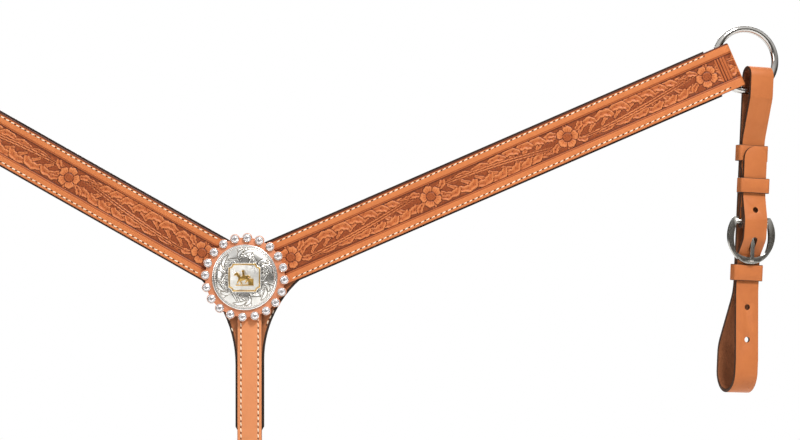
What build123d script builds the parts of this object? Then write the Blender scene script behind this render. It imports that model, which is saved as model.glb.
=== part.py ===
# Western breast collar: two tooled leather arms joined under a concho rosette, a smooth drop
# strap with a bolt snap, and a ring with an adjustable buckled tug at the end of each arm.
# Frame: the collar stands in the XZ plane, its front faces -Y, +Z is up. The origin lies on
# the concho's axis, on the back face of the centre patch. "Depth" counts from there to the front.

import os
from math import cos, radians, sin, sqrt

from build123d import *

os.makedirs("parts", exist_ok=True)

# ---------------------------------------------------------------- driving dimensions (mm)
strap_leather = 3.2  # thickness of every strap
fit_gap = 0.3  # space left between pieces that lie on each other but may move
seam_gap = 0.2  # space left where two fixed leather pieces butt

# arms
right_arm_angle = 23.5  # rise above horizontal, degrees
left_arm_angle = 29.5
arm_reach = 487.6  # concho axis to the folded nose of an arm
lining_width = 44.45
face_width = 41.5
pocket_gap = 10.4  # clear space inside the folded nose
return_length = 56.0  # nose to the end of the leather that is folded back
return_stitched = 16.0  # length of the return that lies flat on the lining
return_step = 14.0  # length over which the return opens from the lining to the pocket

# drop strap and the tails of the linings that run down behind it
drop_offset = 4.0  # drop strap's centre line, right of the concho's axis
drop_width = 22.2
drop_top = -25.5
tail_width = 26.0  # both tails together
tail_end = -141.0
tail_clip_across = 3.0
tail_clip_along = 5.0
tail_bend_radius = {"right": 97.0, "left": 112.0}
tail_bend_end = {"right": -75.0, "left": -80.0}
tail_seam_top = -27.0

# centre patch, rosette and concho
patch_radius = 34.0
patch_thickness = 2.5
crystal_count = 20
crystal_circle = 35.9
crystal_first_angle = 86.6
scallop_radius = 4.3
rosette_thickness = 3.0
setting_radius = 3.75
setting_height = 1.9
setting_wall = 0.45
setting_floor = 0.6
setting_shank = 1.0
crystal_rise = 1.5
concho_radius = 29.75
concho_rise = 6.0
concho_rim_width = 2.4
concho_rim_height = 1.5
concho_flat = 17.5
concho_metal = 1.2
plaque_width = 29.8
plaque_height = 26.4
plaque_notch = 3.6
plaque_thickness = 1.2
plaque_frame_band = 1.1
plaque_frame_height = 0.8
figure_height = 1.5
post_radius = 2.5
thread_radius = 1.75
screw_head_radius = 5.5
screw_head = 0.85
washer_radius = 6.4
washer_thickness = 0.7
recess_radius = 7.0
recess_depth = 1.6

# rings
ring_wire = 6.35
ring_inside = 50.8
ring_reach = 10.6  # ring centre beyond the nose when the ring lies flat
ring_yaw = 13.0

# tugs
tug_seat_turn = {"right": 1.0, "left": 1.5}  # seat's place on the ring, towards straight down
tug_width = 22.2
tug_yaw = 17.0
tug_lean = 2.7
tug_fold_radius = 6.4  # inside radius of the loop round the ring
tug_fold_rise = {"right": 6.0, "left": 13.0}  # centre of that loop above the wire's own curve
hole_radius = 2.6
hole_pitch = 29.6
tongue_hole = -140.6  # below the ring's wire
heel_drop = -122.1
heel_radius = 2.4
heel_clearance = 0.2
tug_tip = -52.7
loop_bottom = -278.9
loop_depth = 40.0
keeper_wall = 2.2
keeper_side_gap = 1.1
keeper_corner = 2.6
below_keeper = 10.0  # the loop starts to open this far below the lower keeper
upper_keeper = (-66.4, -51.8)
middle_keeper = (-95.6, -81.9)
lower_keeper = (-175.8, -160.9)
buckle_thickness = 3.2
buckle_half_width = 12.3 + tug_width / 2
buckle_top = -117.6
buckle_bottom = -160.3
buckle_bar = 5.9
buckle_top_gap = 1.4  # frame to strap at the heel bar
buckle_low_gap = 3.5  # frame to strap at the foot's corners
buckle_horn = 5.4
buckle_low_bar = 3.2
tongue_width = 4.0
tongue_thickness = 2.8
tongue_coil_radius = 4.9
tongue_slot = 6.4
tongue_slant = 4.0  # the strap crosses the tongue at a slant, so its hole is drawn long

# snap
snap_drop = -330.0  # centre of the eye's upper bar
snap_fold_radius = 2.8
snap_return = 95.0
snap_wire = 4.8
snap_eye_inside = 24.2
snap_eye_height = 14.0
fold_screw_drops = (snap_drop + 68.0, snap_drop + 42.0)
fold_screw_radius = 2.5
fold_screw_head = 4.5
fold_head_thickness = 1.2
fold_thread_radius = 1.6
swivel_stem = 3.0
swivel_head = 4.4
swivel_clearance = 0.1
collar_radius = 6.5
collar_wall = 3.0
chamber_height = 3.4
snap_thickness = 11.0
snap_half_width = 14.0
snap_housing_height = 22.0
hook_thickness = 6.4
hook_radius = 11.0
hook_drop = 14.0
bolt_radius = 2.4
bolt_clearance = 0.08
bolt_offset = 9.5
bolt_travel = 8.0
stud_radius = 1.7
stud_length = 8.5
spring_wire = 0.6
spring_turns = 5

# ---------------------------------------------------------------- derived depths and places
lining_back = patch_thickness
face_back = lining_back + strap_leather
face_front = face_back + strap_leather
rosette_front = face_front + rosette_thickness
concho_front = rosette_front + concho_rise
plaque_front = concho_front + plaque_thickness
pocket_middle = face_back - pocket_gap / 2
ring_radius = (ring_inside + ring_wire) / 2
ring_centre_reach = arm_reach + ring_reach
wire_deepest = ring_centre_reach - ring_radius
wire_exit = ring_centre_reach - sqrt(ring_radius**2 - (face_width / 2) ** 2)
ring_pivot_reach = (wire_deepest + wire_exit) / 2
lining_reach = wire_deepest - ring_wire / 2 - 3.0
UP = Vector(0, 0, 1)


def front_plane(depth):
    """The upright plane at a depth, seen from the front: x to the right, y up."""
    return Plane.XZ.offset(depth)


def save(piece, name):
    """Labels a finished piece and writes its file."""
    piece.label = name
    export_step(piece, f"parts/{name}.step")


# ---------------------------------------------------------------- centre patch
# Leather disc that covers the screw's head, so that no metal lies against the chest.
with BuildPart() as centre_patch:
    with BuildSketch(front_plane(0)):
        Circle(patch_radius)
    extrude(amount=patch_thickness)
    with BuildSketch(front_plane(patch_thickness)):
        Circle(recess_radius)
    extrude(amount=-recess_depth, mode=Mode.SUBTRACT)
save(centre_patch.part, "centre_patch")


# ---------------------------------------------------------------- arms
def arm_directions(angle):
    """Along the arm and across it, upwards, for an arm that points right."""
    along = Vector(cos(radians(angle)), 0, sin(radians(angle)))
    across = Vector(-sin(radians(angle)), 0, cos(radians(angle)))
    return along, across


def arm_edge_plane(angle):
    """The arm's side view: x along the arm, y to the front."""
    along, across = arm_directions(angle)
    return Plane(origin=(0, 0, 0), x_dir=along, z_dir=-across)


def arm_face_solid(angle):
    """Tooled face strap, folded back round the ring at its nose and stitched behind."""
    front = face_back + strap_leather / 2
    back = front - pocket_gap - strap_leather
    flat = lining_back - strap_leather / 2 - seam_gap / 4
    nose = arm_reach - strap_leather / 2
    end = arm_reach - return_length
    step = end + return_stitched
    with BuildPart() as face:
        with BuildSketch(arm_edge_plane(angle)):
            with BuildLine():
                FilletPolyline(
                    (0, front),
                    (nose, front),
                    (nose, back),
                    (step + return_step, back),
                    (step, flat),
                    (end, flat),
                    radius=[pocket_gap / 2 + strap_leather / 2 - 0.05] * 2 + [5.0] * 2,
                )
            trace(line_width=strap_leather)
        extrude(amount=face_width / 2, both=True)
        with BuildSketch(front_plane(0)):
            with Locations((-2 * face_width + seam_gap / 2, 0)):
                Rectangle(4 * face_width, 6 * face_width)
            Circle(post_radius + fit_gap)
        extrude(amount=face_front + 1, mode=Mode.SUBTRACT)
    return face.part


def arm_lining_solid(angle, side):
    """Plain lining strap with a tail that turns down behind the drop strap."""
    along, across = arm_directions(angle)
    middle = drop_offset if side == "right" else -drop_offset
    edge = middle + tail_width / 2
    bend = tail_bend_radius[side]
    bend_end = tail_bend_end[side]
    seam_top = tail_seam_top if middle > 0 else tail_seam_top - seam_gap
    half = lining_width / 2
    turn = 0.5
    bend_x = edge + bend * (1 - cos(2 * turn))
    bend_z = bend_end + bend * sin(2 * turn)
    with BuildPart() as lining:
        with BuildSketch(front_plane(lining_back)):
            with BuildLine():
                Polyline(
                    tuple(-across * half)[::2],
                    tuple(along * lining_reach - across * half)[::2],
                    tuple(along * lining_reach + across * half)[::2],
                    tuple(across * half)[::2],
                    close=True,
                )
            make_face()
            with Locations((-2 * half + seam_gap / 2, 0)):
                Rectangle(4 * half, 6 * half, mode=Mode.SUBTRACT)
            with BuildLine():
                Line((edge, tail_end + tail_clip_along), (edge, bend_end))
                ThreePointArc(
                    (edge, bend_end),
                    (edge + bend * (1 - cos(turn)), bend_end + bend * sin(turn)),
                    (bend_x, bend_z),
                )
                Polyline(
                    (bend_x, bend_z),
                    (seam_gap / 2, 0),
                    (seam_gap / 2, seam_top),
                    (middle + seam_gap / 2, seam_top),
                    (middle + seam_gap / 2, tail_end),
                    (edge - tail_clip_across, tail_end),
                    (edge, tail_end + tail_clip_along),
                )
            make_face()
            Circle(post_radius + fit_gap, mode=Mode.SUBTRACT)
        extrude(amount=strap_leather)
    return lining.part


for side, angle in (("right", right_arm_angle), ("left", left_arm_angle)):
    with BuildPart() as arm_face:
        add(arm_face_solid(angle))
        if side == "left":
            mirror(about=Plane.YZ, mode=Mode.REPLACE)
    save(arm_face.part, f"{side}_arm_face")

    with BuildPart() as arm_lining:
        add(arm_lining_solid(angle, side))
        if side == "left":
            mirror(about=Plane.YZ, mode=Mode.REPLACE)
    save(arm_lining.part, f"{side}_arm_lining")


# ---------------------------------------------------------------- drop strap
# Smooth strap over the tails, folded round the snap's eye and screwed to itself.
drop_middle = face_back + strap_leather / 2
fold_centre_depth = drop_middle - snap_fold_radius - strap_leather / 2
return_middle = drop_middle - strap_leather - seam_gap / 2
drop_side = Plane(origin=(drop_offset, 0, 0), x_dir=(0, -1, 0), z_dir=(-1, 0, 0))
fold_bottom = snap_drop - snap_fold_radius - strap_leather / 2
with BuildPart() as drop_strap:
    with BuildSketch(drop_side):
        with BuildLine():
            FilletPolyline(
                (drop_middle, drop_top),
                (drop_middle, fold_bottom),
                (2 * fold_centre_depth - drop_middle, fold_bottom),
                (2 * fold_centre_depth - drop_middle, snap_drop + 6),
                (return_middle, snap_drop + 26),
                (return_middle, snap_drop + snap_return),
                radius=[snap_fold_radius + strap_leather / 2 - 0.05] * 2 + [8.0] * 2,
            )
        trace(line_width=strap_leather)
    extrude(amount=drop_width / 2, both=True)
    with BuildSketch(front_plane(0)):
        with Locations(*[(drop_offset, z) for z in fold_screw_drops]):
            Circle(fold_screw_radius + fit_gap / 2)
    extrude(amount=face_front + 1, mode=Mode.SUBTRACT)
save(drop_strap.part, "drop_strap")

# Two post screws close the fold: a headed barrel from the front, a headed screw from behind.
return_back = return_middle - strap_leather / 2
with BuildPart() as fold_posts:
    with BuildSketch(front_plane(face_front)):
        with Locations(*[(drop_offset, z) for z in fold_screw_drops]):
            Circle(fold_screw_head)
    extrude(amount=fold_head_thickness)
    with BuildSketch(front_plane(return_back + seam_gap)):
        with Locations(*[(drop_offset, z) for z in fold_screw_drops]):
            Circle(fold_screw_radius)
    extrude(amount=face_front - return_back - seam_gap)
    with BuildSketch(front_plane(return_back + seam_gap)):
        with Locations(*[(drop_offset, z) for z in fold_screw_drops]):
            Circle(fold_thread_radius)
    extrude(amount=face_front - return_back - 1, mode=Mode.SUBTRACT)
save(fold_posts.part, "fold_posts")

with BuildPart() as fold_screws:
    with BuildSketch(front_plane(return_back)):
        with Locations(*[(drop_offset, z) for z in fold_screw_drops]):
            Circle(fold_screw_head)
    extrude(amount=-fold_head_thickness)
    with BuildSketch(front_plane(return_back)):
        with Locations(*[(drop_offset, z) for z in fold_screw_drops]):
            Circle(fold_thread_radius - 0.05)
    extrude(amount=face_front - return_back - 2)
    with BuildSketch(front_plane(return_back - fold_head_thickness)):
        with Locations(*[(drop_offset, z) for z in fold_screw_drops]):
            Rectangle(1.6 * fold_screw_head, 0.9)
    extrude(amount=fold_head_thickness / 2, mode=Mode.SUBTRACT)
save(fold_screws.part, "fold_screws")


# ---------------------------------------------------------------- rosette and crystals
with BuildPart() as rosette:
    with BuildSketch(front_plane(face_front)):
        Circle(crystal_circle + 0.2)
        with PolarLocations(crystal_circle, crystal_count, start_angle=crystal_first_angle):
            Circle(scallop_radius)
        Circle(post_radius + fit_gap / 2, mode=Mode.SUBTRACT)
        with PolarLocations(crystal_circle, crystal_count, start_angle=crystal_first_angle):
            Circle(setting_shank + 0.05, mode=Mode.SUBTRACT)
    extrude(amount=rosette_thickness)
save(rosette.part, "rosette")

# Each crystal sits in a silver cup with a shank that is riveted into the leather.
with BuildPart() as crystal_settings:
    with BuildSketch(front_plane(rosette_front)):
        with PolarLocations(crystal_circle, crystal_count, start_angle=crystal_first_angle):
            Circle(setting_radius)
    extrude(amount=setting_height)
    with BuildSketch(front_plane(rosette_front + setting_floor)):
        with PolarLocations(crystal_circle, crystal_count, start_angle=crystal_first_angle):
            Circle(setting_radius - setting_wall)
    extrude(amount=setting_height, mode=Mode.SUBTRACT)
    with BuildSketch(front_plane(rosette_front)):
        with PolarLocations(crystal_circle, crystal_count, start_angle=crystal_first_angle):
            Circle(setting_shank)
    extrude(amount=0.5 - rosette_thickness)
save(crystal_settings.part, "crystal_settings")

crystal_radius = setting_radius - setting_wall - 0.05
with BuildPart() as crystals:
    with BuildSketch(front_plane(rosette_front + setting_floor)):
        with PolarLocations(crystal_circle, crystal_count, start_angle=crystal_first_angle):
            RegularPolygon(crystal_radius, 8)
    extrude(amount=setting_height - setting_floor)
    with BuildSketch(front_plane(rosette_front + setting_height)):
        with PolarLocations(crystal_circle, crystal_count, start_angle=crystal_first_angle):
            RegularPolygon(crystal_radius, 8)
    extrude(amount=crystal_rise, taper=40)
save(crystals.part, "crystals")


# ---------------------------------------------------------------- concho
# Domed shell with a flat centre and a raised rim, turned about the concho's axis.
concho_side = Plane(origin=(0, 0, 0), x_dir=(1, 0, 0), z_dir=(0, 0, 1))
rim_inside = concho_radius - concho_rim_width
with BuildPart() as concho_shell:
    with BuildSketch(concho_side):
        with BuildLine():
            base = -rosette_front
            top = -concho_front
            Polyline(
                (post_radius + 2, top + concho_metal),
                (0, top + concho_metal),
                (0, top),
                (concho_flat, top),
            )
            RadiusArc((concho_flat, top), (rim_inside, base - concho_rim_height), 22)
            Polyline(
                (rim_inside, base - concho_rim_height),
                (concho_radius, base - concho_rim_height),
                (concho_radius, base),
                (rim_inside - 0.4, base),
            )
            RadiusArc((rim_inside - 0.4, base), (concho_flat - 1, top + concho_metal), -21)
            Line((concho_flat - 1, top + concho_metal), (post_radius + 2, top + concho_metal))
        make_face()
    revolve(axis=Axis.Y)
save(concho_shell.part, "concho_shell")

# Threaded post on the back of the shell; it passes through rosette, faces and linings.
with BuildPart() as concho_post:
    with BuildSketch(front_plane(lining_back + 1)):
        Circle(post_radius)
    extrude(amount=concho_front - concho_metal - lining_back - 1)
    with BuildSketch(front_plane(lining_back + 1)):
        Circle(thread_radius + 0.05)
    extrude(amount=concho_front - concho_metal - lining_back - 2.5, mode=Mode.SUBTRACT)
save(concho_post.part, "concho_post")

with BuildPart() as concho_washer:
    with BuildSketch(front_plane(lining_back - washer_thickness)):
        Circle(washer_radius)
        Circle(thread_radius + 0.15, mode=Mode.SUBTRACT)
    extrude(amount=washer_thickness)
save(concho_washer.part, "concho_washer")

with BuildPart() as concho_screw:
    with BuildSketch(front_plane(lining_back - washer_thickness)):
        Circle(screw_head_radius)
    extrude(amount=-screw_head)
    with BuildSketch(front_plane(lining_back - washer_thickness)):
        Circle(thread_radius)
    extrude(amount=face_front - lining_back + 2)
save(concho_screw.part, "concho_screw")


def notched_plate(width, height, notch):
    """Rectangle whose corners are cut by a quarter circle."""
    Rectangle(width, height)
    with GridLocations(width, height, 2, 2):
        Circle(notch, mode=Mode.SUBTRACT)


with BuildPart() as concho_plaque:
    with BuildSketch(front_plane(concho_front)):
        notched_plate(plaque_width, plaque_height, plaque_notch)
    extrude(amount=plaque_thickness)
save(concho_plaque.part, "concho_plaque")

with BuildPart() as plaque_frame:
    with BuildSketch(front_plane(plaque_front)):
        notched_plate(plaque_width - 1.2, plaque_height - 1.2, plaque_notch)
        offset(amount=-plaque_frame_band, mode=Mode.SUBTRACT)
    extrude(amount=plaque_frame_height)
save(plaque_frame.part, "plaque_frame")

# Applied figure: a horse and rider leaning round a barrel, as one flat relief.
with BuildPart() as plaque_figure:
    with BuildSketch(front_plane(plaque_front)):
        with Locations(Location((-1.2, -0.6), 14)):
            Ellipse(4.6, 2.0)
        with BuildLine():
            Polyline((-6.6, 1.2), (-7.6, 3.6), (-6.4, 4.4), (-3.4, 1.2), (-4.2, -1.8), close=True)
        make_face()
        with Locations(Location((-7.5, 3.2), 40)):
            SlotOverall(4.0, 1.7)
        with Locations(Location((-5.4, -3.2), 60), Location((-3.2, -3.8), 115)):
            SlotOverall(4.8, 1.1)
        with Locations(Location((2.4, -2.6), 60), Location((3.2, -2.6), 120)):
            SlotOverall(5.2, 1.2)
        with Locations(Location((3.9, 1.0), 150)):
            SlotOverall(4.0, 1.1)
        with Locations(Location((-0.8, 2.8), 100)):
            SlotOverall(5.0, 1.9)
        with Locations((-1.1, 5.6)):
            Circle(1.15)
        with Locations((6.0, -4.0)):
            RectangleRounded(4.6, 6.0, 0.8)
        with Locations((0.4, -6.9)):
            Rectangle(16.4, 0.9)
    extrude(amount=figure_height)
save(plaque_figure.part, "plaque_figure")


# ---------------------------------------------------------------- rings and tugs
def ring_plane(angle):
    """Plane of a ring: turned about the fold line, which crosses the arm inside its nose."""
    along, across = arm_directions(angle)
    yaw = radians(ring_yaw)
    outward = along * cos(yaw) + Vector(0, 1, 0) * sin(yaw)
    pivot = along * ring_pivot_reach + Vector(0, -pocket_middle, 0)
    centre = pivot + outward * (ring_centre_reach - ring_pivot_reach)
    return Plane(origin=centre, x_dir=outward, z_dir=outward.cross(across))


def tug_planes(angle, side):
    """Side, front and top view planes of a tug, with their origin on the ring's wire."""
    ring = ring_plane(angle)
    turn = radians(tug_seat_turn[side])
    across = ring.z_dir.cross(ring.x_dir)
    seat = ring.origin - (across * cos(turn) + ring.x_dir * sin(turn)) * ring_radius
    yaw = radians(tug_yaw)
    front = Vector(sin(yaw), -cos(yaw), 0)
    right = Vector(cos(yaw), sin(yaw), 0)
    up = UP * cos(radians(tug_lean)) + right * sin(radians(tug_lean))
    return (
        Plane(origin=seat, x_dir=front, z_dir=front.cross(up)),
        Plane(origin=seat, x_dir=up.cross(front), z_dir=front),
        Plane(origin=seat, x_dir=up.cross(front), z_dir=up),
    )


# Depths of the tug's layers, from the ring's wire, positive to the front.
half_leather = strap_leather / 2
back_band = -tug_fold_radius - half_leather
inner_band = back_band + strap_leather + fit_gap  # beside the back band, in a keeper
upper_front = inner_band + half_leather + fit_gap + keeper_wall  # front of the upper keeper
billet = upper_front + fit_gap + half_leather
chape = billet - strap_leather - fit_gap  # behind the billet, in the middle keeper
fold_depth = heel_radius + heel_clearance + half_leather
over_heel = fold_depth + strap_leather + fit_gap + 0.2
through_hole = over_heel - 1.1
loop_front = inner_band + 5.6
loop_back = loop_front - loop_depth + strap_leather


def tug_solid(angle, side):
    """One strap: round the buckle's heel bar, over the ring, down to the loop and up again."""
    side_view, front_view, _ = tug_planes(angle, side)
    wire_curve = ring_radius - sqrt(ring_radius**2 - (tug_width / 2) ** 2)
    fold_top = tug_fold_rise[side] + 2 * wire_curve + tug_fold_radius + half_leather
    heel_bottom = heel_drop - fold_depth
    bottom = loop_bottom + half_leather
    loop_bend = (loop_front - loop_back) / 2 - 0.1
    route = [
        (chape + strap_leather - fit_gap, heel_drop + 13.6, None),
        (fold_depth + 1.1, heel_bottom, fold_depth),
        (-fold_depth - 0.7, heel_bottom, fold_depth),
        (chape, middle_keeper[0] - 4.9, 15),
        (chape, middle_keeper[1] + 3.4, 8),
        (inner_band, upper_keeper[0] - 4.6, 8),
        (inner_band, upper_keeper[1] + 4.8, 30),
        (-back_band, -8, 12),
        (-back_band, fold_top, -back_band - 0.05),
        (back_band, fold_top, -back_band - 0.05),
        (back_band, lower_keeper[0] - below_keeper, 40),
        (loop_back, loop_bottom + 42, 30),
        (loop_back, bottom, loop_bend),
        (loop_front, bottom, loop_bend),
        (loop_front, loop_bottom + 32, 30),
        (inner_band, lower_keeper[0] - below_keeper, 30),
        (inner_band, buckle_bottom + 7.6, 7),
        (through_hole, tongue_hole + 3.2, 9),
        (over_heel, heel_drop + 1.5, 12),
        (billet, middle_keeper[0] - 3, 20),
        (billet, tug_tip, None),
    ]
    with BuildPart() as tug:
        with BuildSketch(side_view):
            with BuildLine():
                FilletPolyline(
                    [(b, h) for b, h, r in route], radius=[r for b, h, r in route[1:-1]]
                )
            trace(line_width=strap_leather)
        extrude(amount=tug_width / 2, both=True)
        # rounded tip
        with BuildSketch(front_view.offset(billet - strap_leather)):
            with Locations((0, tug_tip - tug_width / 4)):
                Rectangle(2 * tug_width, tug_width / 2 + 2)
            with Locations((0, tug_tip - tug_width / 2)):
                Circle(tug_width / 2, mode=Mode.SUBTRACT)
            with Locations((0, tug_tip - 0.75 * tug_width)):
                Rectangle(2 * tug_width, tug_width / 2, mode=Mode.SUBTRACT)
        extrude(amount=2 * strap_leather, mode=Mode.SUBTRACT)
        # punched holes through the adjustable band
        hole_depth = back_band + half_leather + fit_gap / 2
        with BuildSketch(front_view.offset(hole_depth)):
            with Locations(*[(0, tongue_hole + n * hole_pitch) for n in (-3, -2, -1)]):
                Circle(hole_radius)
        extrude(amount=16, mode=Mode.SUBTRACT)
        with BuildSketch(front_view.offset(billet + 1.2)):
            with Locations((0, tongue_hole + hole_pitch)):
                Circle(hole_radius)
        extrude(amount=8, mode=Mode.SUBTRACT)
        with BuildSketch(front_view.offset(hole_depth)):
            with Locations(Location((0, tongue_hole - tongue_slant / 2), 90)):
                SlotOverall(tongue_width + 1.4 + 2 * tongue_slant, tongue_width + 1.4)
        extrude(amount=16, mode=Mode.SUBTRACT)
        # slot in the fold for the tongue
        with BuildSketch(front_view.offset(-fold_depth - half_leather - fit_gap)):
            with Locations((0, heel_drop - 0.5)):
                Rectangle(tongue_slot, 2 * fold_depth + 8)
        extrude(amount=2 * fold_depth + strap_leather + 0.6, mode=Mode.SUBTRACT)
    return tug.part


def keeper_solid(angle, side, span, rear, front):
    """Leather loop round two layers: span is low and high, rear and front are inner depths."""
    _, _, top_view = tug_planes(angle, side)
    low, high = span
    inner_width = tug_width + 2 * keeper_side_gap
    inner_depth = front - rear
    middle = (front + rear) / 2
    with BuildPart() as keeper:
        with BuildSketch(top_view.offset(low)):
            with Locations((0, -middle)):
                outside = (inner_width + 2 * keeper_wall, inner_depth + 2 * keeper_wall)
                RectangleRounded(*outside, keeper_corner)
                RectangleRounded(inner_width, inner_depth, keeper_corner / 4, mode=Mode.SUBTRACT)
        extrude(amount=high - low)
    return keeper.part


def buckle_outline(half_width, top_half, low_half, top, bottom, foot_rise):
    """Horseshoe outline: open at the top, bowed sides and a round foot."""
    shoulder = bottom + foot_rise
    bow = bottom + 0.58 * (top - bottom)
    with BuildSketch() as outline:
        with BuildLine():
            ThreePointArc((-top_half, top), (-half_width, bow), (-low_half, shoulder))
            ThreePointArc((-low_half, shoulder), (0, bottom), (low_half, shoulder))
            ThreePointArc((low_half, shoulder), (half_width, bow), (top_half, top))
            Line((top_half, top), (-top_half, top))
        make_face()
    return outline.sketch


def buckle_frame_solid(angle, side):
    """Horseshoe frame with a round heel bar across its open end."""
    side_view, front_view, _ = tug_planes(angle, side)
    inner_top = tug_width / 2 + buckle_top_gap
    inner_half = buckle_half_width - buckle_bar
    outer_top = inner_top + buckle_horn
    inner_low = tug_width / 2 + buckle_low_gap
    outer_low = inner_low + buckle_low_bar
    foot = buckle_bottom + buckle_bar
    outer = buckle_outline(buckle_half_width, outer_top, outer_low, buckle_top, buckle_bottom, 9.5)
    inner = buckle_outline(inner_half, inner_top, inner_low, buckle_top, foot, 4.2)
    with BuildPart() as frame:
        with BuildSketch(front_view.offset(-buckle_thickness / 2)):
            add(outer)
            add(inner, mode=Mode.SUBTRACT)
        extrude(amount=buckle_thickness)
        with BuildSketch(side_view):
            with Locations((0, heel_drop)):
                Circle(heel_radius)
        extrude(amount=inner_top + 3, both=True)
    return frame.part


def buckle_tongue_solid(angle, side):
    """Tongue rolled round the heel bar; its tip lies on the frame's foot."""
    side_view, _, _ = tug_planes(angle, side)
    back = buckle_thickness / 2 + 0.15
    with BuildPart() as tongue:
        with BuildSketch(side_view):
            with BuildLine():
                FilletPolyline(
                    (back, heel_drop),
                    (back, buckle_bottom + 2.0),
                    (back + tongue_thickness, buckle_bottom + 2.0),
                    (back + tongue_thickness, heel_drop),
                    radius=tongue_thickness / 2 - 0.1,
                )
                Line((back + tongue_thickness, heel_drop), (back, heel_drop))
            make_face()
            with Locations((0, heel_drop)):
                Circle(tongue_coil_radius)
                Circle(heel_radius + 0.1, mode=Mode.SUBTRACT)
        extrude(amount=tongue_width / 2, both=True)
    return tongue.part


for side, angle in (("right", right_arm_angle), ("left", left_arm_angle)):
    with BuildPart(ring_plane(angle)) as ring:
        Torus(ring_radius, ring_wire / 2)
        if side == "left":
            mirror(about=Plane.YZ, mode=Mode.REPLACE)
    save(ring.part, f"{side}_ring")

    with BuildPart() as tug:
        add(tug_solid(angle, side))
        if side == "left":
            mirror(about=Plane.YZ, mode=Mode.REPLACE)
    save(tug.part, f"{side}_tug")

    keeper_spaces = {
        "upper": (upper_keeper, back_band - half_leather, inner_band + half_leather),
        "middle": (middle_keeper, chape - half_leather, billet + half_leather),
        "lower": (lower_keeper, back_band - half_leather, inner_band + half_leather),
    }
    for place, (span, rear, front) in keeper_spaces.items():
        with BuildPart() as keeper:
            add(keeper_solid(angle, side, span, rear - fit_gap, front + fit_gap))
            if side == "left":
                mirror(about=Plane.YZ, mode=Mode.REPLACE)
        save(keeper.part, f"{side}_{place}_keeper")

    with BuildPart() as buckle_frame:
        add(buckle_frame_solid(angle, side))
        if side == "left":
            mirror(about=Plane.YZ, mode=Mode.REPLACE)
    save(buckle_frame.part, f"{side}_buckle_frame")

    with BuildPart() as buckle_tongue:
        add(buckle_tongue_solid(angle, side))
        if side == "left":
            mirror(about=Plane.YZ, mode=Mode.REPLACE)
    save(buckle_tongue.part, f"{side}_buckle_tongue")


# ---------------------------------------------------------------- snap
# Swivel bolt snap. Its own plane: x right of the drop strap's centre line, y up.
snap_front = Plane(origin=(drop_offset, -fold_centre_depth, 0), x_dir=(1, 0, 0), z_dir=(0, -1, 0))
snap_top = Plane(origin=(drop_offset, -fold_centre_depth, 0), x_dir=(1, 0, 0), z_dir=(0, 0, 1))
eye_half = (snap_eye_inside + snap_wire) / 2
eye_low = snap_drop - snap_eye_height
collar_top = eye_low - snap_wire / 2 - fit_gap
housing_top = collar_top - collar_wall - chamber_height - 1.2
housing_low = housing_top - snap_housing_height
chamber_top = collar_top - collar_wall

with BuildPart() as snap_eye:
    with BuildLine(snap_front):
        eye_path = FilletPolyline(
            (eye_half, snap_drop),
            (eye_half, eye_low),
            (-eye_half, eye_low),
            (-eye_half, snap_drop),
            radius=snap_wire * 0.9,
            close=True,
        )
    with BuildSketch(Plane(origin=eye_path @ 0, z_dir=eye_path % 0)):
        Circle(snap_wire / 2)
    sweep(path=eye_path)
    with BuildSketch(snap_top.offset(eye_low)):
        Circle(swivel_stem)
    extrude(amount=chamber_top - 0.4 - eye_low)
    with BuildSketch(snap_top.offset(chamber_top - 0.4)):
        Circle(swivel_head)
    extrude(amount=0.8 - chamber_height)
save(snap_eye.part, "snap_eye")

bore_top = housing_top - 2.0
hook_centre = housing_low - hook_drop + 3
bolt_tip = hook_centre
bolt_top = bore_top - bolt_travel - 3.0
with BuildPart() as snap_body:
    with BuildSketch(snap_top.offset(housing_top)):
        Circle(collar_radius)
    extrude(amount=collar_top - housing_top)
    with BuildSketch(snap_top.offset(housing_low)):
        RectangleRounded(2 * snap_half_width, snap_thickness, 3)
    extrude(amount=snap_housing_height)
    # hook: down from the housing's left side, round the foot and up to the bolt's tip
    with BuildSketch(snap_front.offset(-hook_thickness / 2)):
        with Locations((-hook_radius, (housing_low + hook_centre) / 2)):
            Rectangle(hook_thickness - 0.4, housing_low - hook_centre + 2)
        with BuildLine():
            CenterArc((0, hook_centre), hook_radius, 180, 172)
        trace(line_width=hook_thickness - 0.4)
    extrude(amount=hook_thickness)
    # swivel chamber
    with BuildSketch(snap_top.offset(chamber_top - chamber_height)):
        Circle(swivel_head + swivel_clearance)
    extrude(amount=chamber_height, mode=Mode.SUBTRACT)
    with BuildSketch(snap_top.offset(chamber_top)):
        Circle(swivel_stem + swivel_clearance)
    extrude(amount=collar_wall, mode=Mode.SUBTRACT)
    # bolt's bore and the slot for its stud
    with BuildSketch(snap_top.offset(housing_low)):
        with Locations((bolt_offset, 0)):
            Circle(bolt_radius + bolt_clearance)
    extrude(amount=bore_top - housing_low, mode=Mode.SUBTRACT)
    with BuildSketch(snap_top.offset(bolt_top - 6.0)):
        with Locations((bolt_offset + 10, 0)):
            Rectangle(20, 2 * (stud_radius + 0.15))
    extrude(amount=bolt_travel + 2 * stud_radius + 2.4, mode=Mode.SUBTRACT)
save(snap_body.part, "snap_body")

stud_height = bolt_top - 6.0 + stud_radius + 0.3
with BuildPart() as snap_bolt:
    with BuildSketch(snap_top.offset(bolt_tip + hook_thickness * 0.25)):
        with Locations((bolt_offset, 0)):
            Circle(bolt_radius)
    extrude(amount=bolt_top - bolt_tip - hook_thickness * 0.25)
    stud_root = (drop_offset + bolt_offset, -fold_centre_depth, stud_height)
    with BuildSketch(Plane(origin=stud_root, z_dir=(1, 0, 0))):
        Circle(stud_radius)
    extrude(amount=stud_length)
save(snap_bolt.part, "snap_bolt")

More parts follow.
